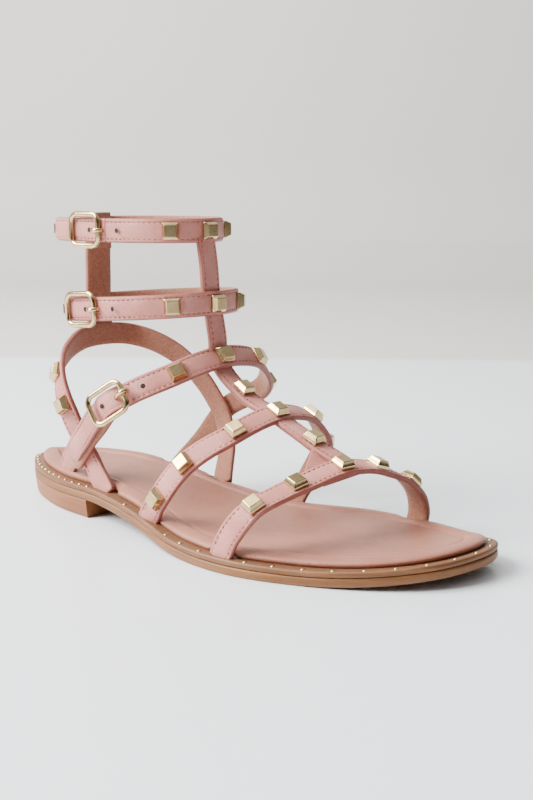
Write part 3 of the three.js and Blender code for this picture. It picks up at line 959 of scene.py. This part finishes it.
# Studs: their places along each route
STUDS = {
    "toe": (0.265, 0.373, 0.496, 0.606, 0.74),
    "mid": (0.139, 0.248, 0.382, 0.5, 0.632, 0.745),
    "instep": (0.34, 0.446, 0.55, 0.656),
    "sling": (0.164, 0.258, 0.58, 0.71),
    "tie": (0.226, 0.449),
    "lower": (0.1, 0.007, 0.915, 0.825, 0.72, 0.63),
    "upper": (0.1, 0.004, 0.897, 0.751, 0.655),
}


def seat(route, t, lift):
    """A matrix of columns (along, across, out) and a place on a strap's outer face."""
    middle, tangent, out, _ = route.frame(t)
    across = np.cross(out, tangent)
    across /= np.linalg.norm(across)
    along = np.cross(across, out)
    return np.stack([along, across, out], 1), middle + out * (STRAP_THICKNESS / 2 + lift)


def placed(points, frame_of):
    turn, origin = frame_of
    return np.asarray(points, float) @ turn.T + origin


# The bevel of a stud's corners, and the depth of its back in the strap, in mm
STUD_BEVEL = 0.28
STUD_BACK = 0.4


def stud(name, frame_of):
    """A square pyramid stud: a low rim, slightly hollow slopes and a flat top."""
    rows = [
        (STUD_SIZE, -STUD_BACK),
        (STUD_SIZE, STUD_RIM),
        ((STUD_SIZE + STUD_TOP) / 2 - 0.12, (STUD_RIM + STUD_HEIGHT) / 2 - 0.06),
        (STUD_TOP, STUD_HEIGHT),
    ]
    points = []
    for size, z in rows:
        for sx, sy in ((1, 1), (-1, 1), (-1, -1), (1, -1)):
            points.append((sx * size / 2, sy * size / 2, z))
    faces = grid_faces(len(rows), 4) + end_caps(len(rows), 4)
    piece = new_piece(f"fine_{name}", placed(points, frame_of), faces, [GOLD], None, [name])
    bevel = piece.modifiers.new("bevel", "BEVEL")
    bevel.width = STUD_BEVEL * MM
    bevel.segments = 3
    bevel.limit_method = "ANGLE"
    bevel.angle_limit = math.radians(25)
    bevel.harden_normals = True


for key, spots in STUDS.items():
    for i, spot in enumerate(spots):
        stud(f"stud_{key}_{i + 1}", seat(routes[key], spot, STUD_LIFT))


# Buckles: width in the plane and height out of it of each wire's section, in mm
FRAME_SECTION = (2.5, 1.9)
PRONG_SECTION = (1.8, 2.0)
WIRE_SIDES = 14


def wire(name, path, normal, diameters, replaces, closed, frame_of):
    """Wire along points in a plane, as one closed ring or with narrowed ends."""
    count = len(path)
    path = np.asarray(path, float)
    normal = np.asarray(normal, float)
    points = []
    for i in range(count):
        before = path[(i - 1) % count] if closed or i > 0 else path[0]
        after = path[(i + 1) % count] if closed or i < count - 1 else path[-1]
        side = np.cross(after - before, normal)
        side /= np.linalg.norm(side)
        scale = 1.0 if closed or 0 < i < count - 1 else 0.55
        for j in range(WIRE_SIDES):
            turn = -2 * math.pi * j / WIRE_SIDES
            reach = side * math.cos(turn) * diameters[0] / 2 + normal * math.sin(turn) * diameters[1] / 2
            points.append(path[i] + reach * scale)
    faces = grid_faces(count, WIRE_SIDES, closed=closed)
    if not closed:
        faces += end_caps(count, WIRE_SIDES)
    new_piece(name, placed(points, frame_of), faces, [GOLD], None, replaces)


BAR_REACH = (BUCKLE_LENGTH - BUCKLE_WIRE) / 2


def buckle_path():
    """The frame's wire, a rectangle with round corners."""
    x = BAR_REACH - BUCKLE_CORNER
    y = (BUCKLE_WIDTH - BUCKLE_WIRE) / 2 - BUCKLE_CORNER
    path = []
    for corner, (sx, sy) in enumerate(((1, 1), (-1, 1), (-1, -1), (1, -1))):
        for k in range(9):
            turn = math.pi / 2 * (corner + k / 8)
            across = sy * y + BUCKLE_CORNER * math.sin(turn)
            path.append((sx * x + BUCKLE_CORNER * math.cos(turn), across, BUCKLE_WIRE / 2))
    return path


def prong_path(forward):
    """The prong's wire, hooked round the frame and then down to the strap."""
    hook = (BUCKLE_WIRE + PRONG_WIRE) / 2 + CLEARANCE * 0.3
    path = []
    for k in range(-3, 13):
        turn = math.pi * 0.6 * k / 12
        along = forward * (BAR_REACH + hook * math.cos(turn))
        path.append((along, 0.0, BUCKLE_WIRE / 2 + hook * math.sin(turn)))
    last_x, _, last_z = path[-1]
    end_x = forward * (BAR_REACH - PRONG_REACH)
    for k in range(1, 9):
        share = k / 8
        path.append((last_x + (end_x - last_x) * share, 0.0, last_z + (0.2 - last_z) * share**1.25))
    return path


# Route, place along it and the way that the prong points back from
BUCKLES = {
    "upper": ("upper_tail", 0.36, -1),
    "lower": ("lower_tail", 0.41, -1),
    "instep": ("instep", 0.228, 1),
}
for key, (route_name, spot, forward) in BUCKLES.items():
    frame_of = seat(routes[route_name], spot, CLEARANCE)
    path = buckle_path()
    wire(f"fine_{key}_frame", path, (0, 0, 1), FRAME_SECTION, [f"buckle_{key}_frame"], True, frame_of)
    path = prong_path(forward)
    wire(f"fine_{key}_prong", path, (0, forward, 0), PRONG_SECTION, [f"buckle_{key}_prong"], False, frame_of)


# Stitches, punched holes and nails: many small parts of one kind make one piece
class Parts:
    """Collects small bodies into one mesh."""

    def __init__(self):
        self.points = []
        self.faces = []

    def add(self, points, faces):
        base = len(self.points)
        self.points += list(points)
        self.faces += [tuple(base + i for i in face) for face in faces]

    def piece(self, name, material, replaces, slot):
        new_piece(name, self.points, self.faces, [material], None, replaces)


STITCH_PITCH = 2.3
STITCH_LENGTH = 1.45
STITCH_INSET = 1.6
STITCH_THICKNESS = 0.42
STITCH_BEDDING = 0.12
STITCH_SIDES = 6
# Share of a stitch's length, rise over the strap in mm, and thickness as a share
STITCH_SHAPE = ((0, -0.25, 0.45), (0.16, 0.02, 1.0), (0.5, 0.1, 1.05), (0.84, 0.02, 1.0), (1, -0.25, 0.45))


def stitch(start, end, out):
    """A stitch from start to end that arches a little outwards and dives in at its ends."""
    along = end - start
    side = np.cross(along, out)
    side /= np.linalg.norm(side)
    points = []
    for share, rise, scale in STITCH_SHAPE:
        centre = start + along * share + out * rise
        for j in range(STITCH_SIDES):
            turn = -2 * math.pi * j / STITCH_SIDES
            reach = (side * math.cos(turn) + out * math.sin(turn)) * STITCH_THICKNESS / 2 * scale
            points.append(centre + reach)
    return points, grid_faces(len(STITCH_SHAPE), STITCH_SIDES) + end_caps(len(STITCH_SHAPE), STITCH_SIDES)


def stitch_row(parts, route, start, end, side, sink):
    """Stitches along one edge of a strap."""
    first = route.length_at(start)
    last = route.length_at(end)
    count = max(int((last - first) / STITCH_PITCH), 1)
    pitch = (last - first) / count
    for i in range(count):
        ends = []
        for shift_along in (0.5 * (pitch - STITCH_LENGTH), 0.5 * (pitch + STITCH_LENGTH)):
            t = route.at_length(first + i * pitch + shift_along)
            middle, _, out, wide = route.frame(t)
            reach = STRAP_WIDTH / 2 - STITCH_INSET
            ends.append(middle + wide * side * reach + out * (STRAP_THICKNESS / 2 - STITCH_BEDDING - sink))
        parts.add(*stitch(ends[0], ends[1], out))


# Stitched stretches: route, start, end and how far they lie below the strap's usual face, in mm
STITCHED = [
    ("toe", 0.06, 0.94, 0.0),
    ("mid", 0.05, 0.95, 0.0),
    ("instep", 0.262, 0.96, 0.0),
    ("instep", 0.03, 0.19, 0.0),
    ("sling", 0.04, 0.96, 0.0),
    ("tie", 0.06, 0.97, 0.2),
    ("lower", 0.0, 1.0, 0.0),
    ("upper", 0.0, 1.0, 0.0),
    ("lower_tail", 0.1, 0.96, 0.0),
    ("upper_tail", 0.1, 0.98, 0.0),
]
stitches = Parts()
for key, start, end, sink in STITCHED:
    for side in (-1, 1):
        stitch_row(stitches, routes[key], start, end, side, sink)
stitches.piece("stitches", THREAD, ["upper"], "upper_leather")

# A dome's rings as shares of its radius and of its rise
DOME_RINGS = ((1.0, 0.0), (0.8, 0.6), (0.45, 0.93))
DOME_SIDES = 14


def dome(centre, out, across, radius, rise):
    """A low dome seated on a surface."""
    other = np.cross(out, across)
    points = []
    for share, up in DOME_RINGS:
        for j in range(DOME_SIDES):
            turn = 2 * math.pi * j / DOME_SIDES
            reach = (across * math.cos(turn) + other * math.sin(turn)) * radius * share
            points.append(centre + reach + out * rise * up)
    points.append(centre + out * rise)
    top = len(DOME_RINGS) * DOME_SIDES
    last = top - DOME_SIDES
    faces = grid_faces(len(DOME_RINGS), DOME_SIDES)
    faces += [(last + j, last + (j + 1) % DOME_SIDES, top) for j in range(DOME_SIDES)]
    return points, faces


HOLE_RADIUS = 1.1
HOLE_LIFT = 0.2
HOLE_RISE = 0.06
# Punched holes: route, its buckle's place, then each hole's distance from there and extra lift, in mm
HOLES = [
    ("upper_tail", 0.36, ((-19.9, 0.0), (-10.4, 0.0), (-1.9, 0.0))),
    ("lower_tail", 0.41, ((-19.9, 0.0), (-10.4, 0.0), (-1.9, 0.0))),
    ("instep", 0.228, ((-2.2, 1.9), (16.2, 0.0))),
]
# Each hole is a low dome whose dark colour is painted shade for the hole's inside
holes = Parts()
for key, spot, places in HOLES:
    route = routes[key]
    for place, lift in places:
        length = route.length_at(spot) + place
        middle, tangent, out, wide = route.frame(route.at_length(np.clip(length, 0, route.length)))
        middle = middle + tangent * min(length, 0.0)
        centre = middle + out * (STRAP_THICKNESS / 2 + HOLE_LIFT + lift)
        holes.add(*dome(centre, out, wide, HOLE_RADIUS, HOLE_RISE))
holes.piece("punched_holes", HOLE_SHADE, ["upper"], "upper_leather")


# Nails: pitch along the welt, twice as close round the heel up to a place along the sole, in mm
NAIL_PITCH = 11.6
CLOSE_NAILS_TO = 88.0
NAIL_INSET = 1.9
NAIL_RADIUS = 0.95
NAIL_RISE = 0.45
NAIL_LIFT = 0.02
NAIL_GAP = 7.5


def welt_nails():
    """Small nail heads round the top of the welt, left out where a strap goes down."""
    nails = Parts()
    track = outline(NAIL_INSET, 600)
    steps = np.linalg.norm(np.roll(track, -1, 0) - track, axis=1)
    walked = np.concatenate([[0], np.cumsum(steps)[:-1]])
    total = float(steps.sum())
    count = 2 * int(total / NAIL_PITCH)
    for i in range(count):
        k = int(np.argmin(np.abs(walked - total * (i + 0.5) / count)))
        x, y = track[k]
        if i % 2 and x > CLOSE_NAILS_TO:
            continue
        if any(math.hypot(x - foot_x, y - foot_y) < NAIL_GAP for foot_x, foot_y in feet):
            continue
        centre = np.array([x, y, float(deck_height(x)) + NAIL_LIFT])
        nails.add(*dome(centre, np.array([0.0, 0.0, 1.0]), np.array([1.0, 0.0, 0.0]), NAIL_RADIUS, NAIL_RISE))
    nails.piece("welt_nails", GOLD, [], "gold")


welt_nails()


# Setting: pale floor and wall, soft light from the upper left, the photograph's camera
# The camera's place in the tables' frame in mm, and the way it faces round the upright axis
CAMERA_FROM = (478.2, -367.2, 146.6)
VIEW_YAW = 0.681
camera_place = Vector(to_row(CAMERA_FROM))
ahead = Vector((-math.sin(VIEW_YAW), math.cos(VIEW_YAW), 0.0))
right = Vector((math.cos(VIEW_YAW), math.sin(VIEW_YAW), 0.0))

# How far behind the shoe the floor changes its tone, and where it runs up into the wall, in metres
LINE_AT = 0.53
LINE_SOFTNESS = 0.03
WALL_AT = 1.5
WALL_BEND = 0.2
BEND_STEPS = 12
FLOOR_FROM = -3.0
FLOOR_ASIDE = 4.0
WALL_HEIGHT = 3.5


def floor_finish():
    """Pale floor that turns to the wall's tone past a soft line behind the shoe."""
    made = Material("floor_pale", roughness=0.3)
    depth = made.nodes.new("ShaderNodeVectorMath")
    depth.operation = "DOT_PRODUCT"
    depth.inputs[1].default_value = tuple(ahead)
    made.links.new(made.place, depth.inputs[0])
    past = made.nodes.new("ShaderNodeMapRange")
    past.interpolation_type = "SMOOTHSTEP"
    past.inputs["From Min"].default_value = LINE_AT - LINE_SOFTNESS
    past.inputs["From Max"].default_value = LINE_AT
    made.links.new(depth.outputs["Value"], past.inputs["Value"])
    made.colour(made.mix(past.outputs["Result"], srgb(238, 243, 248), srgb(219, 217, 212)))
    return made.material


def wall_finish():
    made = Material("wall_pale", roughness=0.6)
    cloud = made.ramp(made.noise(3, 2), [(0.3, 0.0), (0.7, 0.25)])
    made.colour(made.mix(cloud, srgb(222, 220, 215), srgb(226, 228, 230)))
    return made.material


def sweep_floor():
    """Floor that runs up into a wall far behind the shoe, as one smooth sheet."""
    profile = [(FLOOR_FROM, 0.0), (WALL_AT - WALL_BEND, 0.0)]
    for k in range(1, BEND_STEPS + 1):
        turn = math.pi / 2 * k / BEND_STEPS
        forward = WALL_AT - WALL_BEND + WALL_BEND * math.sin(turn)
        profile.append((forward, WALL_BEND - WALL_BEND * math.cos(turn)))
    profile.append((WALL_AT, WALL_HEIGHT))
    points = []
    for forward, up in profile:
        for aside in (-FLOOR_ASIDE, FLOOR_ASIDE):
            spot = ahead * forward + right * aside
            points.append((spot.x / MM - shift[0], spot.y / MM - shift[1], up / MM))
    mesh = bpy.data.meshes.new("floor")
    mesh.from_pydata(to_row(points).tolist(), [], grid_faces(len(profile), 2, around=False))
    mesh.materials.append(floor_finish())
    mesh.materials.append(wall_finish())
    mesh.polygons.foreach_set("material_index", [int(k > BEND_STEPS / 2) for k in range(len(mesh.polygons))])
    mesh.polygons.foreach_set("use_smooth", [True] * len(mesh.polygons))
    piece = bpy.data.objects.new("floor", mesh)
    bpy.context.scene.collection.objects.link(piece)


sweep_floor()


# Each light's side in metres
LIGHT_SIZE = 1.0


def area_light(name, place, power, colour):
    """A square light that faces the shoe."""
    data = bpy.data.lights.new(name, "AREA")
    data.size = LIGHT_SIZE
    data.energy = power
    data.color = colour
    light = bpy.data.objects.new(name, data)
    light.location = place
    light.rotation_euler = (lit - place).to_track_quat("-Z", "Y").to_euler()
    bpy.context.scene.collection.objects.link(light)


lit = Vector((0.0, 0.0, 0.05))
up = Vector((0.0, 0.0, 1.0))
area_light("key", lit - right * 1.2 - ahead * 0.25 + up * 0.95, 97, (1.0, 0.99, 0.98))
area_light("top", lit + ahead * 0.3 - right * 0.4 + up * 1.3, 12, (1.0, 1.0, 1.0))


def world_light():
    """Soft room light: bright above and to the left, dim from the camera's side."""
    world = bpy.data.worlds.new("studio")
    bpy.context.scene.world = world
    world.use_nodes = True
    nodes = world.node_tree.nodes
    links = world.node_tree.links
    direction = nodes.new("ShaderNodeTexCoord").outputs["Generated"]

    def facing(axis):
        node = nodes.new("ShaderNodeVectorMath")
        node.operation = "DOT_PRODUCT"
        node.inputs[1].default_value = tuple(axis)
        links.new(direction, node.inputs[0])
        return node.outputs["Value"]

    def ranged(value, low, high, to_low, to_high):
        node = nodes.new("ShaderNodeMapRange")
        for name, number in (("From Min", low), ("From Max", high), ("To Min", to_low), ("To Max", to_high)):
            node.inputs[name].default_value = number
        links.new(value, node.inputs["Value"])
        return node.outputs["Result"]

    def combined(operation, first, second):
        node = nodes.new("ShaderNodeMath")
        node.operation = operation
        links.new(first, node.inputs[0])
        links.new(second, node.inputs[1])
        return node.outputs["Value"]

    overhead = ranged(facing(up), 0.35, 0.9, 0.04, 0.75)
    away = ranged(facing(ahead), -0.75, 0.35, 0.04, 0.7)
    aside = ranged(facing(right), -0.8, 0.7, 1.35, 0.2)
    strength = combined("MAXIMUM", overhead, combined("MULTIPLY", away, aside))
    links.new(strength, nodes["Background"].inputs["Strength"])
    nodes["Background"].inputs["Color"].default_value = (1.0, 1.0, 1.0, 1.0)


world_light()

# The lens is longer than the photograph's, so that the one shoe fills the frame from the same place
CAMERA_TARGET = Vector((0.0137, 0.0121, 0.0556))
FOCAL_PIXELS = 1203.0
IMAGE_WIDTH = 533.0
SENSOR_WIDTH = 36.0
lens = bpy.data.cameras.new("camera")
lens.sensor_fit = "HORIZONTAL"
lens.sensor_width = SENSOR_WIDTH
lens.lens = SENSOR_WIDTH * FOCAL_PIXELS / IMAGE_WIDTH
lens.clip_start = 0.01
lens.clip_end = 20.0
camera = bpy.data.objects.new("camera", lens)
camera.location = camera_place
camera.rotation_euler = (CAMERA_TARGET - camera_place).to_track_quat("-Z", "Y").to_euler()
bpy.context.scene.collection.objects.link(camera)
bpy.context.scene.camera = camera
